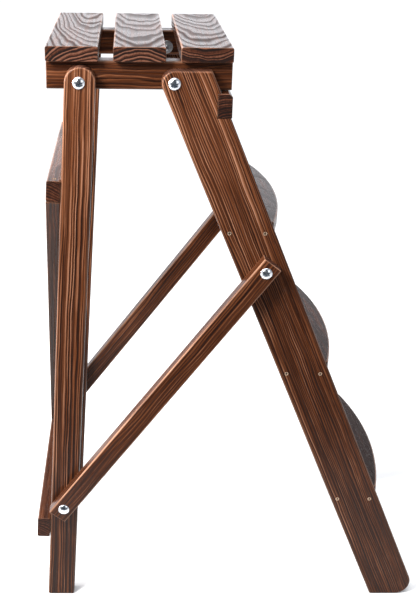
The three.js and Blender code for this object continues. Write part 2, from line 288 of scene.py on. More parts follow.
def stage_plane(name, corners, material):
    mesh = bpy.data.meshes.new(name)
    mesh.from_pydata(corners, [], [range(len(corners))])
    mesh.materials.append(material)
    plane = link(name, mesh)
    return plane


def area_light(name, place, target, side, power, colour):
    """Square light of that side in metres and power in watts."""
    data = bpy.data.lights.new(name, "AREA")
    data.shape = "RECTANGLE"
    data.size = data.size_y = side
    data.energy = power
    data.color = colour
    light = link(name, data)
    light.location = place
    light.rotation_euler = (Vector(target) - Vector(place)).to_track_quat("-Z", "Y").to_euler()


def make_world():
    """Soft white surroundings: brightest low behind the ladder, greyer below the horizon."""
    world = bpy.data.worlds.new("studio")
    world.use_nodes = True
    g = Graph(world.node_tree)
    way = g.axes(g.node("TexCoord").outputs["Generated"])
    above = g.ramp(way[2], -0.10, 0.06, 0.25, 1.0)
    behind = g.ramp(way[0], 0.2, 0.9, 0.0, 2.1)
    low = g.ramp(way[2], 0.14, 0.38, 1.0, 0.0)
    strength = g.math("MULTIPLY", above, g.math("MULTIPLY_ADD", low, behind, 0.62))
    sky = world.node_tree.nodes["Background"]
    sky.inputs["Color"].default_value = SKY
    g.feed(sky.inputs["Strength"], strength)
    bpy.context.scene.world = world


def make_studio():
    reach = FLOOR_REACH
    corners = [(-reach, -reach, 0), (reach, -reach, 0), (reach, reach, 0), (-reach, reach, 0)]
    floor = stage_plane("floor", corners, plain_material("floor_white", FLOOR_WHITE, 0.8))
    # The floor throws no light back on the ladder's dull faces, so that its shadows stay deep.
    floor.visible_diffuse = False
    slate = plain_material("card_slate", SLATE, 0.9)
    for name, corners in DARK_CARDS.items():
        card = stage_plane(name, corners, slate)
        card.visible_camera = False
        card.visible_diffuse = False
        card.visible_shadow = False
    area_light("key", (-0.95, 0.98, 1.64), (0, 0.1, 0.75), 0.5, 43, (1.0, 0.975, 0.94))
    area_light("fill", (-2.0, -1.6, 1.6), (0, 0, 0.5), 1.2, 9, (0.95, 0.97, 1.0))
    area_light("rear", (-0.30, 2.3, 1.15), (0, 0, 0.5), 0.9, 75, (1.0, 0.98, 0.96))
    sun = bpy.data.lights.new("overhead", "SUN")
    sun.energy = 1.75
    sun.angle = math.radians(55)
    link("overhead", sun).rotation_euler = SUN_WAY.to_track_quat("Z", "Y").to_euler()
    make_world()
    bpy.context.scene.view_settings.view_transform = "Standard"


# ---------------------------------------------------------------- stained pine

# Noises in the wood, in cycles per mm along and across the grain.
SLOW_BEND = (0.0045, 0.018, 0.018)
QUICK_BEND = (0.024, 0.06, 0.06)
FIBRE_GRAIN = (0.008, 0.55, 0.55)
STREAK_GRAIN = (0.005, 0.20, 0.20)
BLOTCH_GRAIN = (0.009, 0.03, 0.03)
PORE_GRAIN = (0.09, 2.4, 2.4)
FAINT_PATCHES = (0.006, 0.05, 0.05)

# How far the two bends push the rings, in mm.
SLOW_PUSH = (0, 15, 15)
QUICK_PUSH = (0, 1.6, 1.6)

# What each feature adds to the stain's lightness, to roughness, and to height in mm. The offset
# comes off the lightness, so that a board of tone 0 is mid brown.
SHADES = {"late": 0.60, "groove": -0.20, "fibre": 1.10, "streak": 0.66, "blotch": 0.30}
SHADE_OFFSET = 0.77
ROUGH = {"base": 0.27, "groove": 0.40, "fibre": 0.20, "end": 0.22}
HEIGHTS = {"late": 0.08, "groove": -0.02, "fibre": 0.12, "pores": -0.08}

STAIN = (
    (0.0, (0.014, 0.0042, 0.0019)), (0.28, (0.060, 0.0180, 0.0068)),
    (0.58, (0.150, 0.0500, 0.0200)), (1.0, (0.380, 0.1850, 0.1080)),
)
RESIN = (0.010, 0.004, 0.002, 1)
END_GRAIN_TINT = (0.46, 0.40, 0.42, 1)
# Colour of the lightened edges: bare wood, lifted into a painted highlight.
BARE_WOOD_AND_HIGHLIGHT = (0.40, 0.205, 0.125, 1)


def pine_group():
    """Pine cut from a round log: rings about a pith that drifts and wanders, stained dark brown.

    Pith is the log's centre at local x = 0, in mm, and Drift its slope along the board. Ring is
    a ring's width in mm, and Waver how much the rings wander. Tone lightens the board, and the
    falloff darkens it along local x, per metre: painted shade for light that falls off along the
    board. Contrast and Relief are how strongly the rings show in colour and in depth, and the
    last input is how far the board's edges are lightened: the stain wears off them, and a painted
    highlight lies along the arrises.
    """
    inputs = {"Pith": "Vector", "Drift": "Vector"}
    for label in ("Ring", "Waver", "Seed", "Tone", "Contrast", "Relief", "Fade", "Edge_Wear_And_Highlight"):
        inputs[label] = "Float"
    outputs = {"Colour": "Color", "Roughness": "Float", "Height": "Float"}
    tree, g, given, wanted = new_group("stained_pine", inputs, outputs)

    coordinates = g.node("TexCoord")
    place = g.vector("SCALE", coordinates.outputs["Object"])
    place.node.inputs["Scale"].default_value = 1 / MM
    shift = g.vector("MULTIPLY", (137.0, 59.0, 83.0), given["Seed"])
    sample = g.vector("ADD", place, shift)
    half = (0.5, 0.5, 0.5)

    # Rings: distance from a pith that drifts along the board and wanders a little.
    slow = g.vector("SUBTRACT", g.noise(sample, SLOW_BEND, whole=True), half)
    slow = g.vector("MULTIPLY", slow, SLOW_PUSH)
    quick = g.vector("SUBTRACT", g.noise(sample, QUICK_BEND, whole=True), half)
    quick = g.vector("MULTIPLY", quick, QUICK_PUSH)
    wander = g.vector("MULTIPLY", g.vector("ADD", slow, quick), given["Waver"])
    along = g.axes(place)[0]
    along_twice = g.node("CombineXYZ", {1: along, 2: along}).outputs[0]
    centre = g.vector("ADD", given["Pith"], g.vector("MULTIPLY", given["Drift"], along_twice))
    out = g.vector("ADD", g.vector("SUBTRACT", place, centre), wander)
    out = g.vector("LENGTH", g.vector("MULTIPLY", out, (0, 1, 1)))
    rings = g.math("DIVIDE", out, given["Ring"])
    count = g.math("ADD", rings, given["Seed"])
    uneven = g.node("TexNoise", {"W": count, "Scale": 0.6}, noise_dimensions="1D").outputs[0]
    rings = g.math("ADD", rings, g.math("MULTIPLY", g.math("SUBTRACT", uneven, 0.5), 1.5))
    phase = g.math("FRACT", rings)
    number = g.math("ADD", g.math("FLOOR", rings), given["Seed"])
    luck = g.node("TexWhiteNoise", {"W": number}, noise_dimensions="1D").outputs[0]
    rise = g.ramp(phase, 0.15, 0.65)
    fall = g.ramp(phase, 0.70, 0.92, 1.0, 0.0)
    late = g.math("MULTIPLY", rise, fall)
    late = g.math("MULTIPLY", late, g.math("MULTIPLY_ADD", luck, 0.6, 0.4))
    turned = g.math("FRACT", g.math("ADD", rings, 0.25))
    groove = g.math("MULTIPLY", g.ramp(turned, 0.0, 0.28), g.ramp(turned, 0.32, 0.75, 1.0, 0.0))
    groove = g.math("MULTIPLY", groove, g.math("MULTIPLY_ADD", luck, -0.5, 1.0))

    # Fibres, blotches of stain and short dark resin pores.
    fibre = g.noise(sample, FIBRE_GRAIN, 4.0, 0.75)
    streak = g.noise(sample, STREAK_GRAIN, 4.0, 0.6)
    blotch = g.noise(sample, BLOTCH_GRAIN, 3.0)
    pores = g.ramp(g.noise(sample, PORE_GRAIN, 1.0), 0.66, 0.74)

    # End grain soaks up more stain and shows its rings more.
    across = g.math("ABSOLUTE", g.axes(coordinates.outputs["Normal"])[0])
    end = g.ramp(across, 0.55, 0.9)

    strength = g.ramp(g.noise(sample, FAINT_PATCHES, 2.0), 0.32, 0.62, 0.4, 1.0)
    contrast = g.math("MULTIPLY", given["Contrast"], strength)
    bold = g.math("MULTIPLY_ADD", given["Relief"], 1.6, 0.7)
    contrast = g.math("MAXIMUM", contrast, g.math("MULTIPLY", end, bold))
    shade = g.math("MULTIPLY", late, g.math("MULTIPLY", contrast, SHADES["late"]))
    dip = g.math("MULTIPLY", contrast, SHADES["groove"])
    shade = g.math("MULTIPLY_ADD", groove, dip, shade)
    shade = g.math("MULTIPLY_ADD", fibre, SHADES["fibre"], shade)
    shade = g.math("MULTIPLY_ADD", streak, SHADES["streak"], shade)
    shade = g.math("MULTIPLY_ADD", blotch, SHADES["blotch"], shade)
    shade = g.math("ADD", g.math("SUBTRACT", shade, SHADE_OFFSET), given["Tone"])
    # Painted shade: the board darkens along local x, for light that falls off along it.
    falloff_shade = g.math("MULTIPLY", g.math("MULTIPLY", along, MM), given["Fade"])
    stain = g.colours(g.math("SUBTRACT", shade, falloff_shade), *STAIN)
    stain = g.mix(g.math("MULTIPLY", pores, 0.6), stain, RESIN)
    stain = g.mix(end, stain, g.mix(1.0, stain, END_GRAIN_TINT, "MULTIPLY"))

    # The edges are lightened in patches, least where they run into end grain: the stain wears
    # off them, and a painted highlight lies along the arrises.
    edge = g.node("Attribute", attribute_name="edge").outputs["Fac"]
    rubbed_and_highlit = g.math("MULTIPLY", edge, g.ramp(blotch, 0.35, 0.7, 0.20, 0.7))
    rubbed_and_highlit = g.math("MULTIPLY", rubbed_and_highlit, g.math("MULTIPLY_ADD", end, -0.75, 1.0))
    rubbed_and_highlit = g.math("MINIMUM", g.math("MULTIPLY", rubbed_and_highlit, given["Edge_Wear_And_Highlight"]), 1.0)
    stain = g.mix(rubbed_and_highlit, stain, BARE_WOOD_AND_HIGHLIGHT)

    dull = g.math("MULTIPLY", groove, given["Relief"])
    rough = g.math("MULTIPLY_ADD", dull, ROUGH["groove"], ROUGH["base"])
    rough = g.math("MULTIPLY_ADD", g.math("SUBTRACT", fibre, 0.5), ROUGH["fibre"], rough)
    rough = g.math("MULTIPLY_ADD", end, ROUGH["end"], rough)
    height = g.math("MULTIPLY", g.math("MULTIPLY", late, given["Relief"]), HEIGHTS["late"])
    height = g.math("MULTIPLY_ADD", dull, HEIGHTS["groove"], height)
    height = g.math("MULTIPLY_ADD", fibre, HEIGHTS["fibre"], height)
    height = g.math("MULTIPLY_ADD", pores, HEIGHTS["pores"], height)

    g.feed(wanted["Colour"], stain)
    g.feed(wanted["Roughness"], rough)
    g.feed(wanted["Height"], height)
    return tree


def pine(
    group, name, seed, pith, drift=(0, 0), ring=4.5, waver=1.0,
    tone=0.0, contrast=1.0, relief=0.5, painted_falloff=0.0, edge_wear_and_highlight=1.0,
):
    """A board's own cut of the log: pith and drift are (y, z) in the board's frame."""
    material = bpy.data.materials.new("pine_" + name)
    material.use_nodes = True
    g = Graph(material.node_tree)
    sawn = g.node("Group", node_tree=group)
    values = {
        "Pith": (0, *pith), "Drift": (0, *drift), "Ring": ring, "Waver": waver, "Seed": seed,
        "Tone": tone, "Contrast": contrast, "Relief": relief, "Fade": painted_falloff, "Edge_Wear_And_Highlight": edge_wear_and_highlight,
    }
    for key, value in values.items():
        g.feed(sawn.inputs[key], value)
    bump = g.node("Bump", {"Strength": 1.0, "Distance": MM, "Height": sawn.outputs["Height"]})
    shader = material.node_tree.nodes["Principled BSDF"]
    g.feed(shader.inputs["Base Color"], sawn.outputs["Colour"])
    g.feed(shader.inputs["Roughness"], sawn.outputs["Roughness"])
    g.feed(shader.inputs["Normal"], bump.outputs[0])
    shader.inputs["Specular IOR Level"].default_value = 0.18
    return material


# ---------------------------------------------------------------- metal

CLOUD_GRAIN = (0.35, 0.35, 0.35)
SCRATCH_GRAIN = (1.2, 7.0, 7.0)
# Near black, for the painted shade in a screw's cross recess.
RECESS_SHADE = (0.010, 0.006, 0.004, 1)


def metal(name, low, high, roughness, scratch, recess_shade=0.0):
    """Metal in two tones that change in soft clouds, with a range of roughness and fine scratches.

    Scratch is their depth in mm, and the last value how much the metal darkens below local x = 0,
    which is painted shade in a screw's cross recess.
    """
    material = bpy.data.materials.new(name)
    material.use_nodes = True
    g = Graph(material.node_tree)
    place = g.vector("SCALE", g.node("TexCoord").outputs["Object"])
    place.node.inputs["Scale"].default_value = 1 / MM
    cloud = g.noise(place, CLOUD_GRAIN, 4.0, 0.6)
    fine = g.noise(place, SCRATCH_GRAIN, 2.0)
    colour = g.mix(g.ramp(cloud, 0.35, 0.65), (*low, 1), (*high, 1))
    # Painted shade: the metal darkens below its face, in a screw's cross recess.
    colour = g.mix(g.ramp(g.axes(place)[0], 0.1, 0.3, 0.0, recess_shade), colour, RECESS_SHADE)
    height = g.math("MULTIPLY", fine, scratch)
    bump = g.node("Bump", {"Strength": 1.0, "Distance": MM, "Height": height})
    shader = material.node_tree.nodes["Principled BSDF"]
    shader.inputs["Metallic"].default_value = 1
    g.feed(shader.inputs["Base Color"], colour)
    g.feed(shader.inputs["Roughness"], g.ramp(cloud, 0.3, 0.75, *roughness))
    g.feed(shader.inputs["Normal"], bump.outputs[0])
    return material


# ---------------------------------------------------------------- outlines

FILLET_STEPS = 6
ARC_STEP = math.radians(7)
EASED = 0.006


def fillet(before, corner, after, radius):
    """Points (x, y, edge) of an arc of that radius that rounds a corner.

    Edge is 1 in the middle of an arc that eases an edge, and 0 along an arc of a larger radius.
    """
    to_before, to_after = (before - corner).normalized(), (after - corner).normalized()
    half = to_before.angle(to_after) / 2
    centre = corner + (to_before + to_after).normalized() * (radius / math.sin(half))
    start = corner + to_before * (radius / math.tan(half)) - centre
    sweep = start.angle_signed(corner + to_after * (radius / math.tan(half)) - centre)
    steps = max(FILLET_STEPS, math.ceil(abs(sweep) / ARC_STEP))
    points = []
    for i in range(steps + 1):
        share = i / steps
        turned = Matrix.Rotation(-sweep * share, 2) @ start + centre
        points.append((*turned, math.sin(math.pi * share) if radius < EASED else 0.0))
    return points


def outline(corners):
    """Closed outline from (x, y, radius) corners, those with a radius rounded."""
    points = []
    for i, (x, y, radius) in enumerate(corners):
        if radius == 0:
            points.append((x, y, 0.0))
            continue
        before, after = corners[i - 1], corners[(i + 1) % len(corners)]
        points += fillet(Vector(before[:2]), Vector((x, y)), Vector(after[:2]), radius)
    area = sum(a[0] * b[1] - b[0] * a[1] for a, b in zip(points, points[1:] + points[:1]))
    return points if area > 0 else points[::-1]


def rectangle(x0, x1, y0, y1, radius):
    return outline([(x0, y0, radius), (x1, y0, radius), (x1, y1, radius), (x0, y1, radius)])


def inset(points, distance):
    """The outline moved inwards by a distance, corner by corner."""
    moved = []
    count = len(points)
    for i in range(count):
        before, here, after = (Vector(points[(i + k) % count][:2]) for k in (-1, 0, 1))
        first, second = (here - before).normalized(), (after - here).normalized()
        normal = Vector((-first.y - second.y, first.x + second.x)).normalized()
        scale = distance / max(0.2, normal.dot(Vector((-second.y, second.x))))
        moved.append(here + normal * scale)
    return moved


# ---------------------------------------------------------------- meshes

ROUND_STEPS = 5
SHARP_FROM = math.radians(50)


def skin(loops, capped=True, edge=None):
    """Mesh through loops of equally many points: capped at its ends, or else closed on itself.

    Edge has a value for each point, for the attribute that tells the pine where its edges are
    lightened by wear and by a painted highlight.
    """
    bm = bmesh.new()
    layer = bm.verts.layers.float.new("edge")
    rows = []
    for row, loop in enumerate(loops):
        rows.append([bm.verts.new(point) for point in loop])
        for column, vertex in enumerate(rows[-1]):
            vertex[layer] = edge[row][column] if edge else 0.0
    count = len(loops[0])
    pairs = list(zip(rows, rows[1:]))
    if not capped:
        pairs.append((rows[-1], rows[0]))
    for low, high in pairs:
        for i in range(count):
            after = (i + 1) % count
            bm.faces.new((low[i], low[after], high[after], high[i]))
    if capped:
        bm.faces.new(rows[0][::-1])
        bm.faces.new(rows[-1])
    bmesh.ops.recalc_face_normals(bm, faces=bm.faces)
    mesh = bpy.data.meshes.new("made")
    bm.to_mesh(mesh)
    bm.free()
    mesh.shade_smooth()
    return mesh


def slab(points, low, high, ease, along_grain=False):
    """Outline carried from low to high, its two rims rounded by ease.

    The outline lies in local x and y, or in y and z when it is a section carried along the grain.
    """
    loops, edges = [], []
    angles = [math.pi / 2 * i / ROUND_STEPS for i in range(ROUND_STEPS + 1)]
    levels = [(low + ease * (1 - math.sin(a)), a) for a in reversed(angles)]
    levels += [(high - ease * (1 - math.sin(a)), a) for a in angles]
    for level, angle in levels:
        flat = inset(points, ease * (1 - math.cos(angle)))
        loops.append([(level, p.x, p.y) if along_grain else (p.x, p.y, level) for p in flat])
        edges.append([max(math.sin(2 * angle), point[2] * math.cos(angle)) for point in points])
    return skin(loops, edge=edges)


def box_mesh(low, high):
    square = [(low.x, low.y), (high.x, low.y), (high.x, high.y), (low.x, high.y)]
    return skin([[(x, y, z) for x, y in square] for z in (low.z, high.z)])


def lathe(profile, facets, bite=None):
    """Loops round local x from (x, radius) pairs; bite(x, turn) is taken off the radius."""
    loops = []
    for x, radius in profile:
        loop = []
        for i in range(facets):
            turn = 2 * math.pi * i / facets
            here = radius - bite(x, turn) if bite else radius
            loop.append((x, here * math.cos(turn), here * math.sin(turn)))
        loops.append(loop)
    return loops


def cut(name, mesh, matrix, cutters=()):
    """Object of the mesh with the cutters' meshes taken out; cutters are (mesh, matrix) pairs."""
    made = link(name, mesh, matrix)
    tools = []
    for tool_mesh, tool_matrix in cutters:
        tool = link("tool", tool_mesh, tool_matrix)
        modifier = made.modifiers.new("cut", "BOOLEAN")
        modifier.object = tool
        modifier.solver = "EXACT"
        tools.append(tool)
    if tools:
        bpy.context.view_layer.update()
        graph = bpy.context.evaluated_depsgraph_get()
        made.data = bpy.data.meshes.new_from_object(made.evaluated_get(graph))
        made.modifiers.clear()
        for tool in tools:
            bpy.data.objects.remove(tool)
    normals = made.modifiers.new("flat_faces", "WEIGHTED_NORMAL")
    normals.keep_sharp = True
    made.data.set_sharp_from_angle(angle=SHARP_FROM)
    return made


def place_piece(piece, node, material):
    piece.data.materials.clear()
    piece.data.materials.append(material)
    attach(piece, nodes[node]["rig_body"])
    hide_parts(node)


# ---------------------------------------------------------------- holes


def bolt_hole(bolt):
    """Hole right across the ladder's side for a pivot bolt, as a (mesh, matrix) cutter."""
    reach = size_of(bolt).x + HOLE_OVERRUN
    hole = lathe([(-reach, HOLE_RADIUS), (reach, HOLE_RADIUS)], HOLE_FACETS)
    return skin(hole), Matrix.Translation(centre_of(bolt))


def screw_matrix(screw):
    """Frame with its origin in a screw head's face and local x along the screw."""
    low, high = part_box(screw)
    middle = (low + high) / 2
    if "tread" in screw:
        side = LEFT if middle.x < 0 else RIGHT
        head = Vector((low.x if side == LEFT else high.x, middle.y, middle.z))
        way = Vector((-side, 0, 0))
    else:
        down = -1 if "top" in screw else 1
        way = Vector((0, -down * math.sin(LEG_LEAN), down * math.cos(LEG_LEAN)))
        head = middle - way * (high.z - low.z) / 2
    return Matrix.Translation(head) @ way.to_track_quat("X", "Z").to_matrix().to_4x4()


def screw_hole(screw):
    """Countersunk hole for a screw, as a (mesh, matrix) cutter."""
    length = max(size_of(screw)) + FIT
    profile = [
        (-SCREW_SINK_ABOVE, SCREW_SINK_RADIUS), (SCREW_SINK_DEPTH, SCREW_SINK_RADIUS),
        (SCREW_SINK_END, SCREW_HOLE_RADIUS), (length, SCREW_HOLE_RADIUS),
    ]
    return skin(lathe(profile, SINK_FACETS)), screw_matrix(screw)


# ---------------------------------------------------------------- boards

DOWN_LEG = Vector((0, math.sin(LEG_LEAN), -math.cos(LEG_LEAN)))
AHEAD_OF_LEG = Vector((0, -math.cos(LEG_LEAN), -math.sin(LEG_LEAN)))
DOWN_STILE = Vector((0, -math.sin(STILE_LEAN), -math.cos(STILE_LEAN)))
AHEAD_OF_STILE = Vector((0, -math.cos(STILE_LEAN), math.sin(STILE_LEAN)))
TO_LEFT = Vector((-1, 0, 0))
AHEAD = Vector((0, -1, 0))
UP = Vector((0, 0, 1))


def hand(name):
    """The side that a paired piece is on, from its name."""
    return name.rsplit("_", 1)[1]


def board_frame(origin, along, across):
    """Frame with the grain along local x and the board's width along local y."""
    axes = Matrix((along, across, along.cross(across))).transposed()
    return Matrix.Translation(origin) @ axes.to_4x4()


def straight_board(node, along, across, size, cutters=()):
    """Planed board centred on its CAD node: size is length, width and thickness."""
    length, width, thick = size
    section = rectangle(-width / 2, width / 2, -thick / 2, thick / 2, PLANED)
    mesh = slab(section, -length / 2, length / 2, SAWN, along_grain=True)
    return cut(node + "_board", mesh, board_frame(centre_of(node), along, across), cutters)


def make_slat(node):
    size = size_of(node)
    return straight_board(node, TO_LEFT, AHEAD, (size.x, size.y, size.z))


def make_rail(node):
    size = size_of(node)
    holes = [bolt_hole(f"bolt_{end}_{hand(node)}") for end in ("leg", "stile")]
    return straight_board(node, AHEAD, UP, (size.y, size.z, size.x), holes)


CROSSBARS = {
    "crossbar_upper": (UPPER_BAR_HEIGHT, "screw_diagonal_top"),
    "crossbar_lower": (LOWER_BAR_HEIGHT, "screw_diagonal_bottom"),
}


def make_crossbar(node):
    height, screw = CROSSBARS[node]
    size = (size_of(node).x, BAR_THICK, height)
    return straight_board(node, TO_LEFT, AHEAD_OF_LEG, size, [screw_hole(screw)])


def side_board(node, origin, along, across, corners, cutters):
    """Board of a side frame, from its corners as measured from the pivot at the origin."""
    thick = size_of(node).x
    middle = Vector((centre_of(node).x, origin.y, origin.z))
    mesh = slab(outline(corners), -thick / 2, thick / 2, PLANED)
    return cut(node + "_board", mesh, board_frame(middle, along, across), cutters)


def make_leg(node):
    """Narrow rear board, with a round crown about its bolt."""
    pivot = pivot_of["platform_tilt"]
    crown = LEG_WIDTH / 2
    rear, front = LEG_PIVOT_OFFSET - crown, LEG_PIVOT_OFFSET + crown

    def floor_at(ahead):
        return (pivot.z - ahead * math.sin(LEG_LEAN)) / math.cos(LEG_LEAN)

    corners = [
        (-crown, rear, crown - MM / 10), (-crown, front, crown - MM / 10),
        (floor_at(front), front, PLANED_CORNER), (floor_at(rear), rear, PLANED_CORNER),
    ]
    holes = [bolt_hole(f"bolt_{end}_{hand(node)}") for end in ("leg", "brace_lower")]
    return side_board(node, pivot, DOWN_LEG, AHEAD_OF_LEG, corners, holes)


def make_stile(node):
    """Wide front board: round about its bolt, shouldered in front, notched for the stop bar."""
    pivot = pivot_of["front_frame_fold"]
    rear, front = -STILE_PIVOT_BACKSET, STILE_WIDTH - STILE_PIVOT_BACKSET

    def at_height(ahead, height):
        return (pivot.z - height + ahead * math.sin(STILE_LEAN)) / math.cos(STILE_LEAN)

    top = pivot.z + STILE_PIVOT_BACKSET
    corners = [
        (at_height(rear, top), rear, STILE_PIVOT_BACKSET),
        (at_height(front, top), front, STILE_SHOULDER),
        (at_height(front, 0), front, STILE_TOE_RADIUS),
        (at_height(rear, 0), rear, PLANED_CORNER),
    ]
    low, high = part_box("stop_bar")
    notch_low = low - Vector((NOTCH_BESIDE, NOTCH_AHEAD, FIT))
    notch_high = high + Vector((NOTCH_BESIDE, FIT, FIT))
    screws = [n for n in nodes if n.startswith("screw_tread") and n.endswith(hand(node))]
    cutters = [bolt_hole(f"bolt_{end}_{hand(node)}") for end in ("stile", "brace_upper")]
    cutters += [screw_hole(screw) for screw in sorted(screws)]
    cutters.append((box_mesh(notch_low, notch_high), None))
    return side_board(node, pivot, DOWN_STILE, AHEAD_OF_STILE, corners, cutters)


def make_tread(node):
    """Board between the stiles with a bowed front edge."""
    size = size_of(node)
    half, depth = size.x / 2, size.y
    spread = math.asin(half / TREAD_FRONT_RADIUS)
    corners = [(-half, -depth / 2, PLANED_CORNER), (half, -depth / 2, PLANED_CORNER)]
    for i in range(TREAD_FRONT_STEPS + 1):
        angle = spread * (1 - 2 * i / TREAD_FRONT_STEPS)
        reach = depth / 2 - TREAD_FRONT_RADIUS * (1 - math.cos(angle))
        ends = PLANED_CORNER if i in (0, TREAD_FRONT_STEPS) else 0
        corners.append((TREAD_FRONT_RADIUS * math.sin(angle), reach, ends))
    mesh = slab(outline(corners), -size.z / 2, size.z / 2, PLANED)
    place = node.split("_")[1]
    screws = [n for n in nodes if n.startswith(f"screw_tread_{place}")]
    holes = [screw_hole(screw) for screw in sorted(screws)]
    return cut(node + "_board", mesh, board_frame(centre_of(node), TO_LEFT, AHEAD), holes)


def make_stop_bar(node):
    """Square bar with its upper front edge planed off."""
    size = size_of(node)
    y, z, clip = size.y / 2, size.z / 2, STOP_BAR_CHAMFER
    corners = [(-y, -z), (y, -z), (y, z - clip), (y - clip, z), (-y, z)]
    section = outline([(*corner, SAWN_CORNER) for corner in corners])
    mesh = slab(section, -size.x / 2, size.x / 2, SAWN, along_grain=True)
    return cut(node + "_board", mesh, board_frame(centre_of(node), TO_LEFT, AHEAD))


def make_diagonal(node):
    """Board between the crossbars, its ends sawn level with them."""
    half_width = size_of(node).x / 2
    screws = [screw_hole("screw_diagonal_top"), screw_hole("screw_diagonal_bottom")]
    # Half the room between the crossbars along the legs. They lean, so their boxes are closer.
    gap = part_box("crossbar_upper")[0].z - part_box("crossbar_lower")[1].z
    rise = (gap / math.cos(LEG_LEAN)) / 2
    rise += BAR_THICK * math.tan(LEG_LEAN) / 2 - FIT
    run = half_width - DIAGONAL_SPREAD / 2
    slope = Vector((run, -rise)).normalized()
    along = Vector((slope.x, 0, 0)) - DOWN_LEG * slope.y
    across = (-AHEAD_OF_LEG).cross(along)

    def in_board(x, up):
        point = Vector((x, 0, 0)) - DOWN_LEG * up
        return point.dot(along), point.dot(across), SAWN_CORNER

    corners = [
        in_board(-half_width, rise), in_board(half_width - DIAGONAL_SPREAD, -rise),
        in_board(half_width, -rise), in_board(-half_width + DIAGONAL_SPREAD, rise),
    ]
    mesh = slab(outline(corners), -BAR_THICK / 2, BAR_THICK / 2, SAWN)
    return cut(node + "_board", mesh, board_frame(centre_of(node), along, across), screws)


def make_brace(node):
    """Strut outside a side frame, from its bolt in the leg to its bolt in the stile."""
    bolts = [f"bolt_brace_{end}_{hand(node)}" for end in ("lower", "upper")]
    lower, upper = [centre_of(bolt) for bolt in bolts]
    reach = Vector((0, upper.y - lower.y, upper.z - lower.z))
    along = reach.normalized()
    across = Vector((0, along.z, -along.y))
    width, thick = BRACE_WIDTH, size_of(node).x
    section = rectangle(-width / 2, width / 2, -thick / 2, thick / 2, BRACE_ROUND)
    end = reach.length + BRACE_OVER_UPPER
    mesh = slab(section, -BRACE_OVER_LOWER, end, SAWN, along_grain=True)
    origin = Vector((centre_of(node).x, lower.y, lower.z))
    holes = [bolt_hole(bolt) for bolt in bolts]
    return cut(node + "_board", mesh, board_frame(origin, along, across), holes)


# ---------------------------------------------------------------- fasteners

AXIS_GAP = 0.00005
DOME_STEPS = 14
RIM_ROUND = 0.0003


def inner_end(node):
    """Frame at the inner end of a fastener that lies across the ladder, local x outwards."""
    low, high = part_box(node)
    end = (low + high) / 2
    side = LEFT if end.x < 0 else RIGHT
    end.x = side * min(abs(low.x), abs(high.x))
    turn = Matrix.Rotation(math.pi if side == LEFT else 0, 4, "Z")
    return Matrix.Translation(end) @ turn


def helix(pitch, depth, start, end):
    """How deep a vee thread bites at (x, turn), fading in and out at its two ends."""
    def bite(x, turn):
        share = (x / pitch - turn / (2 * math.pi)) % 1
        ends = min(1, max(0, x - start) / pitch, max(0, end - x) / pitch)
        return depth * ends * abs(2 * share - 1)
    return bite


def spaced(start, end, step):
    """Even places from start to end, no more than a step apart."""
    count = math.ceil((end - start) / step)
    return [start + (end - start) * i / count for i in range(count + 1)]


def threaded_rod(length, thread):
    """(x, radius) pairs of a bolt's shank from its tail at x = 0, and its thread's bite."""
    rod = [(0, AXIS_GAP), (0, BOLT_RADIUS - BOLT_POINT)]
    rod += [(x, BOLT_RADIUS) for x in spaced(BOLT_POINT, thread, THREAD_PITCH / 8)]
    rod.append((length, BOLT_RADIUS))
    return rod, helix(THREAD_PITCH, THREAD_DEPTH, 0, thread)


def make_bolt(node):
    """Carriage bolt: a low polished dome on a shank that is threaded where its nut goes."""
    length = size_of(node).x
    seat = length - HEAD_HEIGHT
    thread = min(BOLT_THREAD, seat * THREADED_SHARE)
    rod, bite = threaded_rod(seat, thread)
    rise = HEAD_HEIGHT - HEAD_RIM
    radius = (HEAD_RADIUS ** 2 + rise ** 2) / (2 * rise)
    spread = math.asin(HEAD_RADIUS / radius)
    rod += [(seat, HEAD_RADIUS - RIM_ROUND), (seat + RIM_ROUND, HEAD_RADIUS)]
    for i in range(DOME_STEPS + 1):
        angle = spread * (1 - i / DOME_STEPS)
        place = length - radius * (1 - math.cos(angle))
        rod.append((place, max(AXIS_GAP, radius * math.sin(angle))))
    return cut(node + "_turned", skin(lathe(rod, BOLT_FACETS, bite)), inner_end(node))


def make_stud(node):
    """The inner part of a brace's upper bolt, which stays in the stile."""
    length = size_of(node).x
    rod, bite = threaded_rod(length, length * THREADED_SHARE)
    rod.append((length, AXIS_GAP))
    return cut(node + "_turned", skin(lathe(rod, BOLT_FACETS, bite)), inner_end(node))


def ring_mesh(outer, inner):
    """Closed ring from an outer skin's loops and the bore's loops, both going the same way."""
    return skin(outer + inner[::-1], capped=False)


def make_washer(node):
    """Stamped washer: its inner face has the rounder rim."""
    thick, radius, ease = size_of(node).x, size_of(node).z / 2, WASHER_ROUND
    outer = [
        (0, radius - ease), (ease / 3, radius - ease / 4), (ease, radius),
        (thick - RIM_ROUND, radius), (thick, radius - RIM_ROUND),
    ]
    inner = [(0, HOLE_RADIUS + RIM_ROUND), (RIM_ROUND, HOLE_RADIUS), (thick, HOLE_RADIUS)]
    mesh = ring_mesh(lathe(outer, WASHER_FACETS), lathe(inner, WASHER_FACETS))
    return cut(node + "_stamped", mesh, inner_end(node))


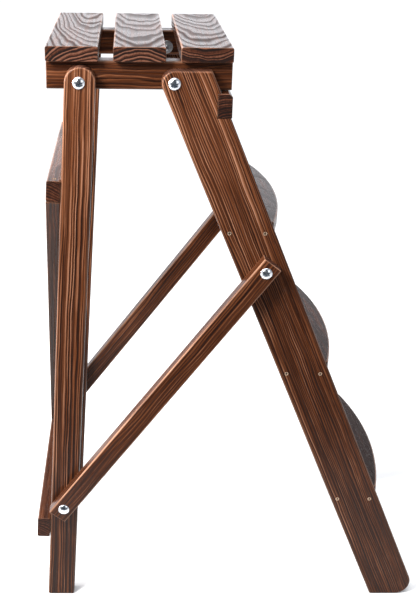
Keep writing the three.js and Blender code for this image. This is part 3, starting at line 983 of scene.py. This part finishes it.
def make_nut(node):
    """Hexagon nut: its corners are turned down to a cone at both faces."""
    thick, flats = size_of(node).x, size_of(node).y
    corner = flats / 2 / math.cos(math.pi / 6)
    face = NUT_FACE_SHARE * flats / 2
    depth = (corner - face) * NUT_CONE_SLOPE

    def beyond_hexagon(x, turn):
        flat = flats / 2 / math.cos((turn % (math.pi / 3)) - math.pi / 6)
        cone = face + min(x, thick - x) / NUT_CONE_SLOPE
        return corner - min(flat, cone)

    levels = spaced(0, depth, depth / 5)
    levels += spaced(thick - depth, thick, depth / 5)
    outer = lathe([(x, corner) for x in levels], NUT_FACETS, beyond_hexagon)
    bore = [(0, BORE_RADIUS + 2 * RIM_ROUND), (2 * RIM_ROUND, BORE_RADIUS)]
    bore += [(thick - x, radius) for x, radius in bore[::-1]]
    mesh = ring_mesh(outer, lathe(bore, NUT_FACETS))
    flat_ahead = Matrix.Rotation(math.pi / 6, 4, "X")
    return cut(node + "_pressed", mesh, inner_end(node) @ flat_ahead)


# Depth below the screw's face, length of an arm from the axis, and half its width.
RECESS_LEVELS = ((-0.0005, 0.0022, 0.00078), (0.0004, 0.0020, 0.00070), (0.0018, 0.0007, 0.0004))


def cross_recess():
    """The driver's cross, narrowing as it goes down into the screw's head."""
    loops = []
    for depth, arm, blade in RECESS_LEVELS:
        quarter = [(arm, -blade), (arm, blade), (blade, blade)]
        loop = []
        for turn in range(4):
            spin = Matrix.Rotation(turn * math.pi / 2, 2)
            loop += [spin @ Vector(point) for point in quarter]
        loops.append([(depth, p.x, p.y) for p in loop])
    return skin(loops)


def make_screw(node):
    """Countersunk wood screw with a cross recess, its thread dying out before the head."""
    length = max(size_of(node).x, SCREW_LENGTH)
    start = SCREW_NECK * 3
    profile = [
        (0, AXIS_GAP), (0, SCREW_HEAD_RADIUS), (SCREW_HEAD_RIM, SCREW_HEAD_RADIUS),
        (SCREW_NECK, SCREW_RADIUS),
    ]
    profile += [(x, SCREW_RADIUS) for x in spaced(start, length - SCREW_POINT, SCREW_PITCH / 8)]
    profile.append((length, AXIS_GAP * 2))
    bite = helix(SCREW_PITCH, SCREW_RADIUS / 3, start, length)
    mesh = skin(lathe(profile, SCREW_FACETS, bite))
    matrix = screw_matrix(node)
    return cut(node + "_turned", mesh, matrix, [(cross_recess(), matrix)])


# ---------------------------------------------------------------- the ladder

BOARD_MAKERS = {
    "slat": make_slat, "rail": make_rail, "leg": make_leg, "stile": make_stile,
    "brace": make_brace, "tread": make_tread, "stop": make_stop_bar,
    "crossbar": make_crossbar, "diagonal": make_diagonal,
}

# How each board is cut from its log and stained, with painted shade along some boards and a
# painted highlight on the edges: what the pairs and sets share, then each board.
SLAT = dict(waver=1.2, contrast=0.25, relief=0.7)
LEG = dict(tone=0.14, contrast=1.5, painted_falloff=0.44, edge_wear_and_highlight=0.6)
STILE = dict(tone=0.05, contrast=1.3, painted_falloff=0.26, edge_wear_and_highlight=0.5)
BRACE = dict(drift=(0.003, 0), tone=-0.08)
TREAD = dict(contrast=0.3, relief=0.2)
CUTS = {
    "slat_rear": dict(SLAT, pith=(24, -42), drift=(0.03, -0.10), ring=5.0, tone=-0.10),
    "slat_middle": dict(SLAT, pith=(2, -52), drift=(0.0, -0.10), ring=5.6, tone=-0.12),
    "slat_front": dict(SLAT, pith=(4, 66), drift=(0.0, 0.12), ring=5.2, tone=-0.12),
    "rail_left": dict(pith=(-60, 30), drift=(0.03, 0.02), ring=5.0, waver=2.6, contrast=0.6),
    "rail_right": dict(pith=(-50, -34), drift=(0.02, 0.03), ring=4.6, waver=2.2, contrast=0.7),
    "leg_left": dict(LEG, pith=(-70, -28), drift=(0.004, 0), ring=4.6),
    "leg_right": dict(LEG, pith=(66, -34), drift=(0.003, 0), ring=5.0),
    "stile_left": dict(STILE, pith=(130, -30), ring=3.0),
    "stile_right": dict(STILE, pith=(120, -34), ring=3.1),
    "brace_left": dict(BRACE, pith=(60, -50), ring=3.4, contrast=0.8, painted_falloff=-0.14, edge_wear_and_highlight=2.1),
    "brace_right": dict(BRACE, pith=(54, -44), ring=3.6, contrast=0.9, edge_wear_and_highlight=1.6),
    # The treads step darker from the upper one to the lower: their stain, with painted shade for the
    # weaker sheen that the lower treads catch.
    "tread_lower": dict(TREAD, pith=(5, -60), drift=(0, 0.08), ring=4.5, tone=-0.42),
    "tread_middle": dict(TREAD, pith=(-4, -66), drift=(0, 0.07), ring=4.8, tone=-0.28),
    "tread_upper": dict(TREAD, pith=(8, -56), drift=(0, 0.09), ring=4.4, tone=-0.22),
    "stop_bar": dict(pith=(10, -40), ring=3.2, tone=-0.30, contrast=0.8),
    "crossbar_upper": dict(pith=(-20, -60), ring=3.6, tone=-0.04, contrast=0.5, relief=0.15),
    "crossbar_lower": dict(
        pith=(-24, -58), ring=3.6, tone=-0.05, contrast=0.15, relief=0.15, edge_wear_and_highlight=0.4,
    ),
    "diagonal": dict(
        pith=(-20, -60), ring=4.6, tone=-0.12, contrast=0.5, relief=0.1, painted_falloff=0.25,
    ),
}
FIRST_SEED = 3.0

METAL_MAKERS = {
    "bolt": (make_bolt, "bright_zinc"), "stud": (make_stud, "zinc_steel"),
    "washer": (make_washer, "zinc_steel"), "nut": (make_nut, "zinc_steel"),
    "screw": (make_screw, "screw_steel"),
}
METAL_LOOKS = {
    "bright_zinc": ((0.54, 0.57, 0.61), (0.70, 0.72, 0.75), (0.16, 0.27), 0.002),
    # The studs', washers' and nuts' zinc is lighter than the bolts': plating, lifted with painted
    # light for parts that sit in shade.
    "zinc_steel": ((0.62, 0.64, 0.66), (0.86, 0.87, 0.88), (0.30, 0.48), 0.006),
    # The screw's last value paints shade into its cross recess.
    "screw_steel": ((0.60, 0.42, 0.28), (0.92, 0.72, 0.56), (0.58, 0.74), 0.006, 1.0),
}

make_camera()
make_studio()
log = pine_group()
metals = {slot: metal(slot, *look) for slot, look in METAL_LOOKS.items()}

for count, (node, board_cut) in enumerate(CUTS.items()):
    board = BOARD_MAKERS[node.split("_")[0]](node)
    place_piece(board, node, pine(log, node, FIRST_SEED + count, **board_cut))
for node in sorted(set(nodes) - set(CUTS)):
    maker, slot = METAL_MAKERS[node.split("_")[0]]
    place_piece(maker(node), node, metals[slot])
